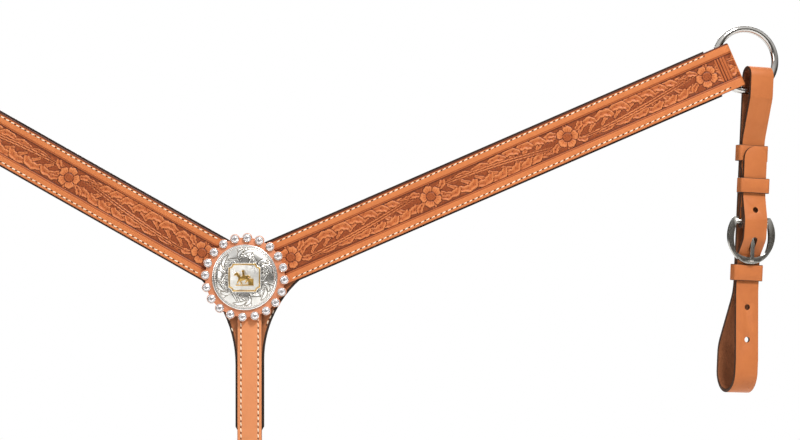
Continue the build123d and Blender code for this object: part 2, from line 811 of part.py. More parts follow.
spring_height = bore_top - bolt_top
spring_radius = bolt_radius - spring_wire / 2 - 0.1
spring_pitch = (spring_height - spring_wire) / spring_turns
with BuildPart() as snap_spring:
    spring_foot = (drop_offset + bolt_offset, -fold_centre_depth, bolt_top + spring_wire / 2)
    with BuildLine():
        coil = Helix(spring_pitch, spring_height - spring_wire, spring_radius, center=spring_foot)
    with BuildSketch(Plane(origin=coil @ 0, z_dir=coil % 0)):
        Circle(spring_wire / 2)
    sweep(path=coil, is_frenet=True)
save(snap_spring.part, "snap_spring")
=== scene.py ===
# A western breast collar: two tooled leather arms, a jewelled concho where they meet, a smooth
# drop strap with a bolt snap, and at each arm's end a ring with a buckled tug.
import math
import random

import bmesh
import bpy
import numpy as np
from mathutils import Matrix, Vector


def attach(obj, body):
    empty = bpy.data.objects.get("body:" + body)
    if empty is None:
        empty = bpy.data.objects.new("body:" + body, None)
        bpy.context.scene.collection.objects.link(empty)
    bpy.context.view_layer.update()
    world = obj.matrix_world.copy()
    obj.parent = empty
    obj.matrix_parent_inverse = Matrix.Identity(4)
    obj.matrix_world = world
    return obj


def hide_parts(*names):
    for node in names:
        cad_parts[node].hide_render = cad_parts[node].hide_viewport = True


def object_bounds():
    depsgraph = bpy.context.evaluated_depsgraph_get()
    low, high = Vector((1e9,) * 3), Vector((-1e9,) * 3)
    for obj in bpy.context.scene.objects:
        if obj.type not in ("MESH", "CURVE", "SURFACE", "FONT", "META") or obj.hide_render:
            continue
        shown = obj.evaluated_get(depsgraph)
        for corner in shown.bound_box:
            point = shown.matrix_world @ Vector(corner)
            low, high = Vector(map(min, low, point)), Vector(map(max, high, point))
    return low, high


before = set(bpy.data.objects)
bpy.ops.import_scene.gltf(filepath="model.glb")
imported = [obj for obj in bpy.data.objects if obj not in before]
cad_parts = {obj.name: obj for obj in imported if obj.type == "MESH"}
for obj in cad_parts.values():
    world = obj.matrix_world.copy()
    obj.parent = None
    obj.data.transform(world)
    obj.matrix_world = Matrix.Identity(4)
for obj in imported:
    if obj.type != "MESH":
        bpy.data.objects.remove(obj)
cad_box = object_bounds()
mm = 0.001
random.seed(7)

# Studio: a long lens square to the collar, a pale round floor under it, a soft key light from
# the upper right and a sky that is bright above and dark below, which the metal reflects.
camera_data = bpy.data.cameras.new("camera")
camera_data.sensor_width = 36.0
camera_data.lens = 98.7
camera_distance = 2.0
camera = bpy.data.objects.new("camera", camera_data)
camera.location = (0.1406, -camera_distance, 0.0520)
camera.rotation_euler = (math.radians(90), 0, 0)
bpy.context.collection.objects.link(camera)
bpy.context.scene.camera = camera
bpy.context.scene.view_settings.view_transform = "Standard"

world = bpy.data.worlds.new("studio")
world.use_nodes = True
bpy.context.scene.world = world
tree = world.node_tree
tree.nodes.clear()
sky_place = tree.nodes.new("ShaderNodeTexCoord")
sky_axes = tree.nodes.new("ShaderNodeSeparateXYZ")
sky_ramp = tree.nodes.new("ShaderNodeValToRGB")
sky_ramp.color_ramp.elements[0].position = 0.52
sky_ramp.color_ramp.elements[0].color = (0.10, 0.09, 0.08, 1)
sky_ramp.color_ramp.elements[1].position = 0.72
sky_ramp.color_ramp.elements[1].color = (0.95, 0.95, 0.95, 1)
sky_height = tree.nodes.new("ShaderNodeMath")
sky_height.operation = "MULTIPLY_ADD"
sky_height.inputs[1].default_value = 0.5
sky_height.inputs[2].default_value = 0.5
sky_rear = tree.nodes.new("ShaderNodeMapRange")
sky_rear.inputs["From Min"].default_value = -0.1
sky_rear.inputs["From Max"].default_value = 0.6
sky_rear.inputs["To Min"].default_value = 1.0
sky_rear.inputs["To Max"].default_value = 0.22
sky_dim = tree.nodes.new("ShaderNodeMix")
sky_dim.data_type = "RGBA"
sky_dim.blend_type = "MULTIPLY"
sky_dim.inputs["Factor"].default_value = 1.0
sky_light = tree.nodes.new("ShaderNodeBackground")
sky_light.inputs["Strength"].default_value = 0.85
sky_seen = tree.nodes.new("ShaderNodeBackground")
sky_seen.inputs["Color"].default_value = (1, 1, 1, 1)
sky_path = tree.nodes.new("ShaderNodeLightPath")
sky_mix = tree.nodes.new("ShaderNodeMixShader")
sky_out = tree.nodes.new("ShaderNodeOutputWorld")
tree.links.new(sky_place.outputs["Generated"], sky_axes.inputs[0])
tree.links.new(sky_axes.outputs["Z"], sky_height.inputs[0])
tree.links.new(sky_height.outputs[0], sky_ramp.inputs["Fac"])
tree.links.new(sky_axes.outputs["Y"], sky_rear.inputs["Value"])
tree.links.new(sky_ramp.outputs["Color"], sky_dim.inputs["A"])
tree.links.new(sky_rear.outputs["Result"], sky_dim.inputs["B"])
tree.links.new(sky_dim.outputs["Result"], sky_light.inputs["Color"])
tree.links.new(sky_path.outputs["Is Camera Ray"], sky_mix.inputs["Fac"])
tree.links.new(sky_light.outputs[0], sky_mix.inputs[1])
tree.links.new(sky_seen.outputs[0], sky_mix.inputs[2])
tree.links.new(sky_mix.outputs[0], sky_out.inputs["Surface"])


def add_lamp(name, place, target, size, power):
    """A square soft light that faces a point."""
    lamp_data = bpy.data.lights.new(name, "AREA")
    lamp_data.size = size
    lamp_data.energy = power
    lamp = bpy.data.objects.new(name, lamp_data)
    lamp.location = place
    lamp.rotation_euler = (Vector(target) - Vector(place)).to_track_quat("-Z", "Y").to_euler()
    bpy.context.collection.objects.link(lamp)


add_lamp("key", (0.9, -1.5, 1.9), (0.1, 0, 0.05), 0.5, 62)
add_lamp("fill", (-1.7, -2.3, 0.5), (0.1, 0, 0.0), 0.9, 14)
add_lamp("back", (0.4, 2.2, 1.4), (0, 0, 0.0), 1.6, 45)


def new_piece(name, bm, body, materials, replaced=()):
    """Turns a bmesh into a piece that rides a body and stands for CAD nodes."""
    mesh = bpy.data.meshes.new(name)
    bm.to_mesh(mesh)
    bm.free()
    piece = bpy.data.objects.new(name, mesh)
    bpy.context.collection.objects.link(piece)
    for material in materials:
        mesh.materials.append(material)
    if body:
        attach(piece, body)
    if replaced:
        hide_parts(*replaced)
    return piece


floor_radius = 2.2
floor_below = 0.03  # the floor's distance under the lowest piece
floor_bm = bmesh.new()
bmesh.ops.create_circle(floor_bm, cap_ends=True, segments=96, radius=floor_radius)
bmesh.ops.translate(floor_bm, verts=floor_bm.verts, vec=(0, 0, cad_box[0][2] - floor_below))
floor_paint = bpy.data.materials.new("floor_paint")
floor_paint.use_nodes = True
floor_shader = floor_paint.node_tree.nodes["Principled BSDF"]
floor_shader.inputs["Base Color"].default_value = (0.86, 0.86, 0.85, 1)
floor_shader.inputs["Roughness"].default_value = 0.8
new_piece("floor", floor_bm, None, [floor_paint])


# Leather: vegetable-tanned harness leather. One node group gives its mottled dye, its fine
# grain and pores; every leather material places it with its own colours and sizes.
def make_leather_group():
    """Node group: dye colours in, colour, roughness and normal of a hide out."""
    group = bpy.data.node_groups.new("hide", "ShaderNodeTree")
    face = group.interface
    for name, default in (("Dye", (0.5, 0.2, 0.1, 1)), ("Shade", (0.3, 0.1, 0.05, 1))):
        socket = face.new_socket(name, in_out="INPUT", socket_type="NodeSocketColor")
        socket.default_value = default
    for name, default in (("Mottle", 0.5), ("Grain", 0.3), ("Pore Size", 900.0), ("Sheen", 0.45)):
        socket = face.new_socket(name, in_out="INPUT", socket_type="NodeSocketFloat")
        socket.default_value = default
    face.new_socket("Color", in_out="OUTPUT", socket_type="NodeSocketColor")
    face.new_socket("Roughness", in_out="OUTPUT", socket_type="NodeSocketFloat")
    face.new_socket("Normal", in_out="OUTPUT", socket_type="NodeSocketVector")
    nodes, links = group.nodes, group.links
    source = nodes.new("NodeGroupInput")
    sink = nodes.new("NodeGroupOutput")
    place = nodes.new("ShaderNodeTexCoord")
    cloud = nodes.new("ShaderNodeTexNoise")
    cloud.inputs["Scale"].default_value = 55.0
    cloud.inputs["Detail"].default_value = 6.0
    cloud.inputs["Roughness"].default_value = 0.62
    pores = nodes.new("ShaderNodeTexVoronoi")
    pores.feature = "DISTANCE_TO_EDGE"
    fine = nodes.new("ShaderNodeTexNoise")
    fine.inputs["Scale"].default_value = 1500.0
    fine.inputs["Detail"].default_value = 3.0
    spread = nodes.new("ShaderNodeMapRange")
    spread.inputs["From Min"].default_value = 0.35
    spread.inputs["From Max"].default_value = 0.65
    amount = nodes.new("ShaderNodeMath")
    amount.operation = "MULTIPLY"
    colour = nodes.new("ShaderNodeMix")
    colour.data_type = "RGBA"
    pit = nodes.new("ShaderNodeMapRange")
    pit.inputs["From Max"].default_value = 0.16
    height = nodes.new("ShaderNodeMath")
    height.operation = "MULTIPLY_ADD"
    height.inputs[1].default_value = 0.35
    bump = nodes.new("ShaderNodeBump")
    bump.inputs["Distance"].default_value = 0.00012
    gloss = nodes.new("ShaderNodeMath")
    gloss.operation = "MULTIPLY_ADD"
    gloss.inputs[1].default_value = 0.16
    for texture in (cloud, pores, fine):
        links.new(place.outputs["Object"], texture.inputs["Vector"])
    links.new(source.outputs["Pore Size"], pores.inputs["Scale"])
    links.new(cloud.outputs["Fac"], spread.inputs["Value"])
    links.new(spread.outputs["Result"], amount.inputs[0])
    links.new(source.outputs["Mottle"], amount.inputs[1])
    links.new(amount.outputs[0], colour.inputs["Factor"])
    links.new(source.outputs["Dye"], colour.inputs["A"])
    links.new(source.outputs["Shade"], colour.inputs["B"])
    links.new(colour.outputs["Result"], sink.inputs["Color"])
    links.new(pores.outputs["Distance"], pit.inputs["Value"])
    links.new(fine.outputs["Fac"], height.inputs[0])
    links.new(pit.outputs["Result"], height.inputs[2])
    links.new(height.outputs[0], bump.inputs["Height"])
    links.new(source.outputs["Grain"], bump.inputs["Strength"])
    links.new(bump.outputs["Normal"], sink.inputs["Normal"])
    links.new(spread.outputs["Result"], gloss.inputs[0])
    links.new(source.outputs["Sheen"], gloss.inputs[2])
    links.new(gloss.outputs[0], sink.inputs["Roughness"])
    return group


hide = make_leather_group()


def leather(name, dye, shade, mottle=0.5, grain=0.3, pore_size=900.0, sheen=0.42, coat=0.0):
    """A leather material with its own dye, darker shade, grain and sheen."""
    material = bpy.data.materials.new(name)
    material.use_nodes = True
    nodes, links = material.node_tree.nodes, material.node_tree.links
    shader = nodes["Principled BSDF"]
    skin = nodes.new("ShaderNodeGroup")
    skin.node_tree = hide
    skin.inputs["Dye"].default_value = (*dye, 1)
    skin.inputs["Shade"].default_value = (*shade, 1)
    skin.inputs["Mottle"].default_value = mottle
    skin.inputs["Grain"].default_value = grain
    skin.inputs["Pore Size"].default_value = pore_size
    skin.inputs["Sheen"].default_value = sheen
    links.new(skin.outputs["Color"], shader.inputs["Base Color"])
    links.new(skin.outputs["Roughness"], shader.inputs["Roughness"])
    links.new(skin.outputs["Normal"], shader.inputs["Normal"])
    shader.inputs["Specular IOR Level"].default_value = 0.22
    shader.inputs["Coat Weight"].default_value = coat
    shader.inputs["Coat Roughness"].default_value = 0.35
    return material


smooth_leather = leather("smooth_leather", (0.46, 0.143, 0.042), (0.36, 0.102, 0.028), 0.45, 0.3)
drop_leather = leather("drop_leather", (0.57, 0.215, 0.086), (0.49, 0.17, 0.064), 0.4, 0.25)
wing_leather = leather("wing_leather", (0.36, 0.125, 0.045), (0.24, 0.075, 0.028), 0.6, 0.25)
edge_leather = leather(
    "edge_leather", (0.034, 0.017, 0.010), (0.014, 0.008, 0.006), 0.8, 0.35, 400, 0.34, 0.2
)
flesh_leather = leather(
    "flesh_leather", (0.23, 0.105, 0.050), (0.14, 0.060, 0.028), 0.8, 0.9, 260, 0.78
)


# Arm faces: one strap each, carved with a vine, burnished and dyed, then folded back round the
# ring and stitched down. The carving is real relief; its depth also sets the antique dye's
# darkness.
# Its raised ridges are lighter, partly burnished and partly a painted highlight, and a painted
# shadow darkens the plain margins beside the border.
arm_angle = {"right": math.radians(23.5), "left": math.radians(29.5)}
face_half = 20.75
face_front = 8.9
lining_front = 5.7
lining_back = 2.5
leather_thick = 3.2
arm_reach = 487.6
pocket_gap = 10.4
return_length = 56.0
return_stitched = 16.0
return_step = 14.0
band_half = 11.2
band_start = 18.0  # the strap begins here, under the rosette
flower_places = (45.0, 184.0, 319.0, 457.0)
flower_radius = 10.4
vine_pitch = 137.5
petal_count = 5
seed_radius = 4.4


def carve(u, v):
    """Height in mm and darkness of the tooling at u along the arm and v across it."""
    noise = np.random.default_rng(3).random(u.shape)
    ground = np.abs(v) < band_half
    height = np.where(ground, -0.62 - 0.16 * noise, 0.0)
    tone = np.where(ground, 0.86 + 0.22 * noise, 0.0)

    def cut(distance, width=0.34, depth=0.95):
        """A swivel-knife cut where the distance is near zero."""
        edge = np.exp(-((distance / width) ** 2))
        np.minimum(height, -depth * edge, out=height, where=edge > 0.25)
        np.maximum(tone, 1.25 * edge, out=tone, where=edge > 0.25)

    def blade(x, y, heading, length, width, curl, lobes):
        """An acanthus leaf along a curling midrib from (x, y)."""
        steps = 26
        t = np.linspace(0, 1, steps)
        turning = heading + curl * t**2.5
        rib_x = x + np.cumsum(np.cos(turning)) * length / steps
        rib_y = y + np.cumsum(np.sin(turning)) * length / steps
        reach = width + 2.0
        near = (u > rib_x.min() - reach) & (u < rib_x.max() + reach)
        near &= (v > rib_y.min() - reach) & (v < rib_y.max() + reach) & ground
        spots = np.nonzero(near)
        du = u[spots][:, None] - rib_x
        dv = v[spots][:, None] - rib_y
        away = np.hypot(du, dv)
        best = away.argmin(1)
        rows = np.arange(len(best))
        gap = away[rows, best]
        along = t[best]
        side = np.sign(
            dv[rows, best] * np.cos(turning[best]) - du[rows, best] * np.sin(turning[best])
        )
        half = 1.12 * width * (0.24 + 0.76 * along**0.95) * (1 - along**8) ** 0.5
        half = half * (0.88 + 0.12 * np.cos(2 * lobes * np.pi * along + 0.4 * side)) + 0.05
        inside = gap < half
        part = gap / half
        ridge = np.exp(-(((part - 0.74) / 0.24) ** 2))
        flute = np.abs(np.sin(lobes * np.pi * along - 1.6 * part)) < 0.22
        vein = (gap < 0.28) & (along > 0.25)
        lift = -0.60 + 0.68 * ridge - 0.2 * flute - 0.25 * vein
        # the ridge is lighter, partly burnished and partly a painted highlight; cuts and hollows
        # hold the dark antique
        shade = 0.50 - 0.90 * ridge + 0.45 * (flute & (part < 0.6)) + 0.5 * vein
        rim = np.abs(gap - half - 0.25) < 0.30
        height[spots] = np.where(rim, -1.1, np.where(inside, lift, height[spots]))
        tone[spots] = np.where(rim, 1.15, np.where(inside, shade, tone[spots]))

    def reed(x0, y0, x1, y1, bow, width):
        """One long stalk from (x0, y0) to (x1, y1): a rounded ridge between two cuts."""
        t = np.clip((u - x0) / (x1 - x0), 0, 1)
        middle = y0 + (y1 - y0) * t**1.5 + bow * np.sin(np.pi * t)
        half = width * (0.35 + 0.65 * np.sin(np.pi * (0.12 + 0.8 * t)))
        gap = np.abs(v - middle)
        near = (u > x0) & (u < x1) & ground & (gap < half + 0.4)
        ridge = np.clip(1 - gap / half, 0, 1)
        rim = near & (np.abs(gap - half) < 0.3)
        height[near] = (-0.45 + 0.5 * ridge)[near]
        # the stalk's rounded ridge is lighter, partly burnished and partly a painted highlight
        tone[near] = (0.45 - 0.75 * ridge**0.7)[near]
        height[rim] = -1.0
        tone[rim] = 1.05

    def flower(x, y, radius, turn):
        """Five ruffled petals round a cross-hatched seed."""
        near = np.hypot(u - x, v - y) < radius + 1.2
        spots = np.nonzero(near & ground)
        du, dv = u[spots] - x, v[spots] - y
        far = np.hypot(du, dv)
        bearing = np.arctan2(dv, du) + turn
        lobe = np.abs(np.cos(petal_count / 2 * bearing))
        edge = radius * (0.70 + 0.30 * lobe**0.55) + 0.28 * np.cos(15 * bearing)
        inside = far < edge
        part = np.clip(far / np.maximum(edge, 0.1), 0, 1)
        rays = (np.cos(20 * bearing) > 0.35) & (far < 0.75 * edge)
        lift = -0.50 + 0.52 * part**1.6 - 0.2 * rays
        # each petal grows lighter towards its raised edge, partly burnished and partly a painted
        # highlight
        shade = 0.52 - 0.85 * part**2.0 + 0.40 * rays
        split = (lobe < 0.16) & (far > 2.6)
        rim = (np.abs(far - edge) < 0.36) | (split & inside)
        height[spots] = np.where(inside, lift, height[spots])
        tone[spots] = np.where(inside, shade, tone[spots])
        height[spots] = np.where(rim, -0.98, height[spots])
        tone[spots] = np.where(rim, 1.25, tone[spots])
        seed = far < seed_radius
        hatch = (np.abs((du + dv) % 1.7 - 0.85) < 0.3) | (np.abs((du - dv) % 1.7 - 0.85) < 0.3)
        height[spots] = np.where(seed, 0.05 - 0.35 * hatch, height[spots])
        tone[spots] = np.where(seed, 0.55 + 0.45 * hatch, tone[spots])
        ring = np.abs(far - seed_radius + 0.1) < 0.32
        height[spots] = np.where(ring, -0.9, height[spots])
        tone[spots] = np.where(ring, 1.2, tone[spots])

    for number in range(-1, 4):
        base = flower_places[0] + number * vine_pitch
        flip = 1 if number % 2 == 0 else -1
        for x, y, heading, length, width, curl, lobes in (
            (96, 3.6, 0.34, 24, 3.3, -1.2, 3), (84, 2.4, 0.46, 28, 3.9, -1.5, 4),
            (71, 1.2, 0.56, 31, 4.3, -1.7, 4), (58, 0.0, 0.62, 33, 4.5, -1.8, 5),
            (45, -1.4, 0.68, 34, 4.6, -1.9, 5), (32, -2.8, 0.72, 34, 4.7, -2.0, 5),
            (19, -3.8, 0.76, 32, 4.6, -2.1, 5), (8, -3.6, 0.86, 25, 4.2, -2.1, 4),
            (103, 2.6, -0.72, 26, 4.3, 1.9, 4), (90, 1.4, -0.68, 30, 4.5, 1.8, 5),
            (77, 0.0, -0.60, 31, 4.5, 1.7, 5), (64, -1.2, -0.52, 30, 4.2, 1.5, 4),
            (51, -2.6, -0.42, 28, 3.8, 1.3, 4), (38, -4.2, -0.32, 24, 3.1, 1.1, 3),
            (24, -6.6, -0.15, 20, 2.3, 0.8, 3), (112, 7.4, 0.0, 16, 2.8, -0.7, 3),
        ):
            blade(base + x, flip * y, flip * heading, length, width, flip * curl, lobes)
        for x0, y0, x1, y1, bow, width in (
            (9, -7.0, 128, 4.4, -0.6, 0.85), (10, -5.3, 124, 6.0, -0.3, 0.85),
        ):
            reed(base + x0, flip * y0, base + x1, flip * y1, flip * bow, width)
    for number, x in enumerate(flower_places):
        for spray in range(6):
            bearing = 0.5 + spray * math.pi / 3 + number
            blade(x + 7.5 * math.cos(bearing), 5.2 * math.sin(bearing), bearing, 12.0, 3.6, 0.9, 3)
        flower(x, 0.0, flower_radius, 0.35 + 0.5 * number)
    # a barred block ends the vine before the fold
    ends = (u > arm_reach - 19) & (u < arm_reach - 9) & ground
    bar_pitch = 2.6
    lines = np.abs(((u - arm_reach) % bar_pitch) - bar_pitch / 2) < 0.4
    height[ends] = np.where(lines[ends], -0.85, -0.3)
    tone[ends] = np.where(lines[ends], 1.2, 0.55)
    cut(np.abs(v) - band_half, 0.42, 1.0)
    cut(np.abs(v) - band_half - 1.5, 0.24, 0.4)
    bevel = np.clip(1 - (band_half - np.abs(v)) / 1.4, 0, 1) * ground
    # painted shadow: the plain margins darken towards the border cut
    shadow = np.exp(-(((np.abs(v) - band_half) / 2.2) ** 2))
    tone += 0.25 * bevel + np.where(ground, 0, 0.12 + 0.18 * shadow)
    return height, tone


def carved_leather():
    """Tooled leather: light ridges, partly burnished and partly a painted highlight, over a dark
    red-brown antiqued ground.
    """
    material = leather(
        "tooled_leather", (0.84, 0.30, 0.105), (0.70, 0.225, 0.070), 0.5, 0.3, coat=0.1
    )
    nodes, links = material.node_tree.nodes, material.node_tree.links
    shader = nodes["Principled BSDF"]
    skin = next(n for n in nodes if n.type == "GROUP")
    depth = nodes.new("ShaderNodeAttribute")
    depth.attribute_name = "tone"
    # the ramp runs from the painted highlight on the ridges to the dark antique in the cuts, with
    # the painted margin shadow
    antique_highlight_and_shadow = nodes.new("ShaderNodeValToRGB")
    ramp = antique_highlight_and_shadow.color_ramp
    ramp.elements[0].position = 0.0
    ramp.elements[0].color = (1.0, 1.0, 1.0, 1)
    ramp.elements[1].position = 1.0
    ramp.elements[1].color = (0.07, 0.035, 0.02, 1)
    for position, colour in (
        (0.2, (0.68, 0.62, 0.56, 1)), (0.5, (0.54, 0.41, 0.31, 1)), (0.74, (0.38, 0.23, 0.14, 1)),
    ):
        element = ramp.elements.new(position)
        element.color = colour
    scale = nodes.new("ShaderNodeMath")
    scale.operation = "MULTIPLY_ADD"
    scale.inputs[1].default_value = 0.64
    scale.inputs[2].default_value = 0.2
    mix = nodes.new("ShaderNodeMix")
    mix.data_type = "RGBA"
    mix.blend_type = "MULTIPLY"
    mix.inputs["Factor"].default_value = 1.0
    links.new(depth.outputs["Fac"], scale.inputs[0])
    links.new(scale.outputs[0], antique_highlight_and_shadow.inputs["Fac"])
    links.new(skin.outputs["Color"], mix.inputs["A"])
    links.new(antique_highlight_and_shadow.outputs["Color"], mix.inputs["B"])
    links.new(mix.outputs["Result"], shader.inputs["Base Color"])
    return material


tooled_leather = carved_leather()


def arm_axes(side):
    """Along and across directions of an arm."""
    turn = arm_angle[side]
    way = 1 if side == "right" else -1
    along = Vector((way * math.cos(turn), 0, math.sin(turn)))
    across = Vector((-way * math.sin(turn), 0, math.cos(turn)))
    return along, across


fold_radius = (pocket_gap + 2 * leather_thick) / 2


def face_route(distance):
    """Side view of a face strap's outside: distance from the concho to (u, depth, normal)."""
    straight = arm_reach - fold_radius
    if distance < straight:
        return distance, face_front, (0.0, 1.0)
    turn = (distance - straight) / fold_radius
    if turn < math.pi:
        ahead, out = math.sin(turn), math.cos(turn)
        return straight + fold_radius * ahead, face_front - fold_radius * (1 - out), (ahead, out)
    back = straight - (distance - straight - math.pi * fold_radius)
    floor_depth = face_front - 2 * fold_radius
    flat_depth = lining_back - leather_thick
    step = arm_reach - return_length + return_stitched
    part = min(max((step + return_step - back) / return_step, 0.0), 1.0)
    ease = part * part * (3 - 2 * part)
    return back, floor_depth + (flat_depth - floor_depth) * ease, (0.0, -1.0)


flat_end = arm_reach - fold_radius
bend_end = flat_end + math.pi * fold_radius
route_end = bend_end + return_length - fold_radius
band_steps = np.linspace(-band_half - 1.9, band_half + 1.9, 50)
margin_steps = np.array([14.2, 16.0, 17.8, 19.0, 19.5, 19.9, 20.2, 20.5, face_half])
front_relief_end = flat_end + 9.0
front_steps = np.concatenate([-margin_steps[::-1], band_steps, margin_steps])
rear_steps = np.array(
    [face_half, face_half - 0.3, 7.0, -7.0, 0.3 - face_half, -face_half, -face_half]
)
across_steps = np.concatenate([front_steps, rear_steps])
front_count = len(front_steps)
rear_drop = np.array([2.5, 2.9, 2.9, 2.9, 2.9, 2.5, 0.55])
drop_steps = np.concatenate([np.zeros(front_count), rear_drop])
along_steps = np.concatenate([
    np.arange(band_start, flat_end, 0.5),
    np.linspace(flat_end, bend_end, 26)[1:-1],
    np.linspace(bend_end, route_end, 24),
])


def flat_grid(name, columns, rows):
    """A grid mesh, with the column and the row of each of its vertices."""
    bm = bmesh.new()
    bmesh.ops.create_grid(bm, x_segments=columns, y_segments=rows, size=1.0)
    mesh = bpy.data.meshes.new(name)
    bm.to_mesh(mesh)
    bm.free()
    spots = np.empty(len(mesh.vertices) * 3)
    mesh.vertices.foreach_get("co", spots)
    spots = spots.reshape(-1, 3)
    column = np.rint((spots[:, 0] + 1) / 2 * columns).astype(int)
    row = np.rint((spots[:, 1] + 1) / 2 * rows).astype(int)
    return mesh, column, row


def shaped_grid(mesh, points, tone):
    """Moves a grid's vertices to points in mm, keeps their tone and returns the bmesh."""
    mesh.vertices.foreach_set("co", (points * mm).ravel())
    layer = mesh.attributes.new("tone", "FLOAT", "POINT")
    layer.data.foreach_set("value", tone.astype(np.float32))
    bm = bmesh.new()
    bm.from_mesh(mesh)
    return bm


for side in ("right", "left"):
    along, across = arm_axes(side)
    mesh, column, row = flat_grid(
        f"{side}_tooled_strap", len(along_steps) - 1, len(across_steps) - 1
    )
    route = [face_route(distance) for distance in along_steps]
    places = np.array([(reach, depth, *normal) for reach, depth, normal in route])
    u, depth, normal_u, normal_d = places[column].T
    v = across_steps[row]
    height, tone = carve(along_steps[column], v)
    outside = row < front_count
    carved = outside & (along_steps[column] < front_relief_end)
    height = np.where(carved, height, 0.0) - drop_steps[row]
    tone = np.where(carved, tone, 0.15)
    edge = np.clip((np.abs(v) - (face_half - 1.0)) / 1.0, 0, 1)
    height = np.where(outside, height - 0.55 * edge**2, height)
    burnish = np.where(v > 0, 1.8, 0.5)
    dark_edge = np.clip((np.abs(v) - (face_half - burnish)) / 0.4, 0, 1)
    tone = np.maximum(tone, 1.2 * dark_edge)
    u = u + normal_u * height
    depth = depth + normal_d * height
    points = np.outer(u, along) + np.outer(v, across) + np.outer(depth, (0, -1, 0))
    bm = shaped_grid(mesh, points, tone)
    for polygon in bm.faces:
        last = max(row[vertex.index] for vertex in polygon.verts)
        polygon.material_index = 0 if last < front_count else 1
        if front_count + 1 < last < front_count + 5:
            polygon.material_index = 2
        polygon.smooth = True
    bmesh.ops.remove_doubles(bm, verts=bm.verts, dist=1e-6)
    bmesh.ops.holes_fill(bm, edges=[e for e in bm.edges if e.is_boundary], sides=0)
    bmesh.ops.recalc_face_normals(bm, faces=bm.faces)
    new_piece(
        f"{side}_tooled_strap", bm, "collar",
        [tooled_leather, edge_leather, flesh_leather], [f"{side}_arm_face"],
    )


# Copies of CAD pieces: the same shape with its facets merged and its edges rounded over, so
# that a cut strap gets a burnished edge and cast metal gets a soft corner.
def cad_copy(node):
    """A merged copy of a CAD node's mesh as a bmesh."""
    bm = bmesh.new()
    bm.from_mesh(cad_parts[node].data)
    bmesh.ops.remove_doubles(bm, verts=bm.verts, dist=2e-6)
    bmesh.ops.dissolve_limit(bm, angle_limit=math.radians(1.0), verts=bm.verts, edges=bm.edges)
    return bm


def round_over(bm, radius, segments=2, sharp=35, material=-1):
    """Bevels the edges that turn more sharply than the given angle."""
    limit = math.radians(sharp)
    paired = [e for e in bm.edges if len(e.link_faces) == 2]
    corners = [e for e in paired if e.calc_face_angle(0) > limit]
    bmesh.ops.bevel(
        bm, geom=corners, offset=radius, segments=segments, profile=0.5, affect="EDGES",
        clamp_overlap=True, material=material,
    )
    for polygon in bm.faces:
        polygon.smooth = True


# Linings: plain leather straps behind the faces, a little wider, each with a tail that turns
# down behind the drop strap. Their cut edges are burnished almost black.
dark_rim = 2.0

for side in ("right", "left"):
    bm = cad_copy(f"{side}_arm_lining")
    for polygon in bm.faces:
        polygon.material_index = 2 if polygon.normal.y > 0.9 else 1
    front = [f for f in bm.faces if f.normal.y < -0.9]
    rim = bmesh.ops.inset_region(bm, faces=front, thickness=dark_rim * mm, depth=0.0)["faces"]
    for polygon in front:
        polygon.material_index = 0
    for polygon in rim:
        polygon.material_index = 1
    new_piece(
        f"{side}_lining", bm, "collar",
        [wing_leather, edge_leather, flesh_leather], [f"{side}_arm_lining"],
    )

# Centre patch: soft round leather that keeps the screw's head off the horse.
bm = cad_copy("centre_patch")
round_over(bm, 0.7 * mm)
new_piece("chest_patch", bm, "collar", [flesh_leather], ["centre_patch"])

# Drop strap: one smooth strap, lighter than the arms, folded round the snap's eye.
bm = cad_copy("drop_strap")
for polygon in bm.faces:
    outside = polygon.normal.y < -0.5 and polygon.calc_center_median().y < -7 * mm
    polygon.material_index = 1 if abs(polygon.normal.x) > 0.9 else (0 if outside else 2)
round_over(bm, 0.45 * mm, 2, 35, 1)
new_piece(
    "drop", bm, "collar", [drop_leather, edge_leather, flesh_leather],
    ["drop_strap"],
)


# Stitching: waxed cream thread, five to the inch, laid in a slight slant, with a dark disc of
# painted shade at each end standing in for the pit of the awl hole. Front and back rows follow
# the same awl hole places.
thread = leather("thread", (0.86, 0.76, 0.60), (0.66, 0.52, 0.36), 0.6, 0.6, 2500, 0.6)
stitch_pitch = 5.3


def sew(name, rows, body):
    """Lays stitches along rows of (start, end, outward) in mm."""
    bm = bmesh.new()
    hole_shade = bmesh.new()
    for start, end, outward in rows:
        run = end - start
        ahead = run.normalized()
        sideways = outward.cross(ahead)
        for number in range(int(run.length / stitch_pitch)):
            middle = start + ahead * (number + 0.5) * stitch_pitch
            slant = Matrix.Rotation(math.radians(9 + random.uniform(-3, 3)), 3, outward)
            lie = slant @ ahead
            turn = Matrix((lie, outward.cross(lie), outward)).transposed().to_4x4()
            size = Matrix.Diagonal((1.75 + random.uniform(-0.1, 0.1), 0.54, 0.42, 1))
            place = Matrix.Translation(middle * mm) @ turn @ Matrix.Scale(mm, 4) @ size
            bmesh.ops.create_icosphere(bm, subdivisions=2, radius=1.0, matrix=place)
            # a flat dark disc sunk at each awl hole is painted shade for the hole's pit
            hole = middle + ahead * stitch_pitch / 2 - outward * 0.1
            flat = Matrix.Diagonal((1.2, 0.75, 0.22, 1))
            place = Matrix.Translation(hole * mm) @ turn @ Matrix.Scale(mm, 4) @ flat
            bmesh.ops.create_icosphere(hole_shade, subdivisions=1, radius=1.0, matrix=place)
    for polygon in list(bm.faces) + list(hole_shade.faces):
        polygon.smooth = True
    new_piece(f"{name}_thread", bm, body, [thread])
    new_piece(f"{name}_awl_hole_shade", hole_shade, body, [edge_leather])


